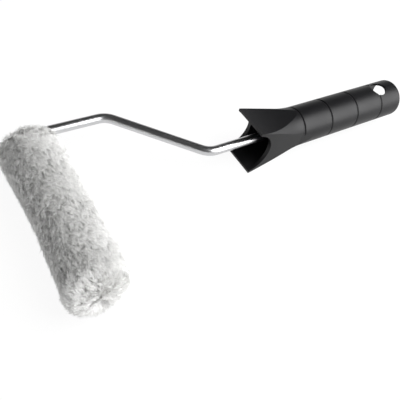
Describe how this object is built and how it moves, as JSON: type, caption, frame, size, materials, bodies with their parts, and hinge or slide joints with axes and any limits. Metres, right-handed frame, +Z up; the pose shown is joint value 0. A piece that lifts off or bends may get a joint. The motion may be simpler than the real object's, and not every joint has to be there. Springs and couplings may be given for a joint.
{
  "type": "mini paint roller",
  "caption": "Mini paint roller: a long-pile sleeve that spins on a cranked wire frame, with a moulded handle that has a swallow-tail mouth, a pole socket and a hang hole.",
  "frame": {"origin": "under the middle of the whole roller, on the surface it lies on", "axes": "+X along the handle towards its butt, -Y along the spindle towards the sleeve's free end, +Z up"},
  "size_m": [0.274, 0.1146, 0.034],
  "materials": {
    "handle": "satin black",
    "plated_wire": "bright plated",
    "bearing_plastic": "natural white",
    "spring_steel": "dull",
    "core_plastic": "satin grey",
    "pile": "long white pile"
  },
  "bodies": {
    "frame": {"handle": "handle", "wire_frame": "plated_wire", "stop_washer": "bearing_plastic", "retaining_ring": "spring_steel"},
    "bearings": {"entry_bush": "bearing_plastic", "tip_bush": "bearing_plastic"},
    "sleeve": {"core_tube": "core_plastic", "head_plug": "core_plastic", "pile_cover": "pile"}
  },
  "joints": [
    {"name": "roller_spin", "type": "hinge", "parent": "frame", "child": "bearings", "pos_m": [-0.12, 0.00425, 0.017], "axis": [0, 1, 0], "continuous": true},
    {"name": "refill_pull", "type": "slide", "parent": "bearings", "child": "sleeve", "axis": [0, -1, 0], "range_m": [0, 0.095]}
  ]
}
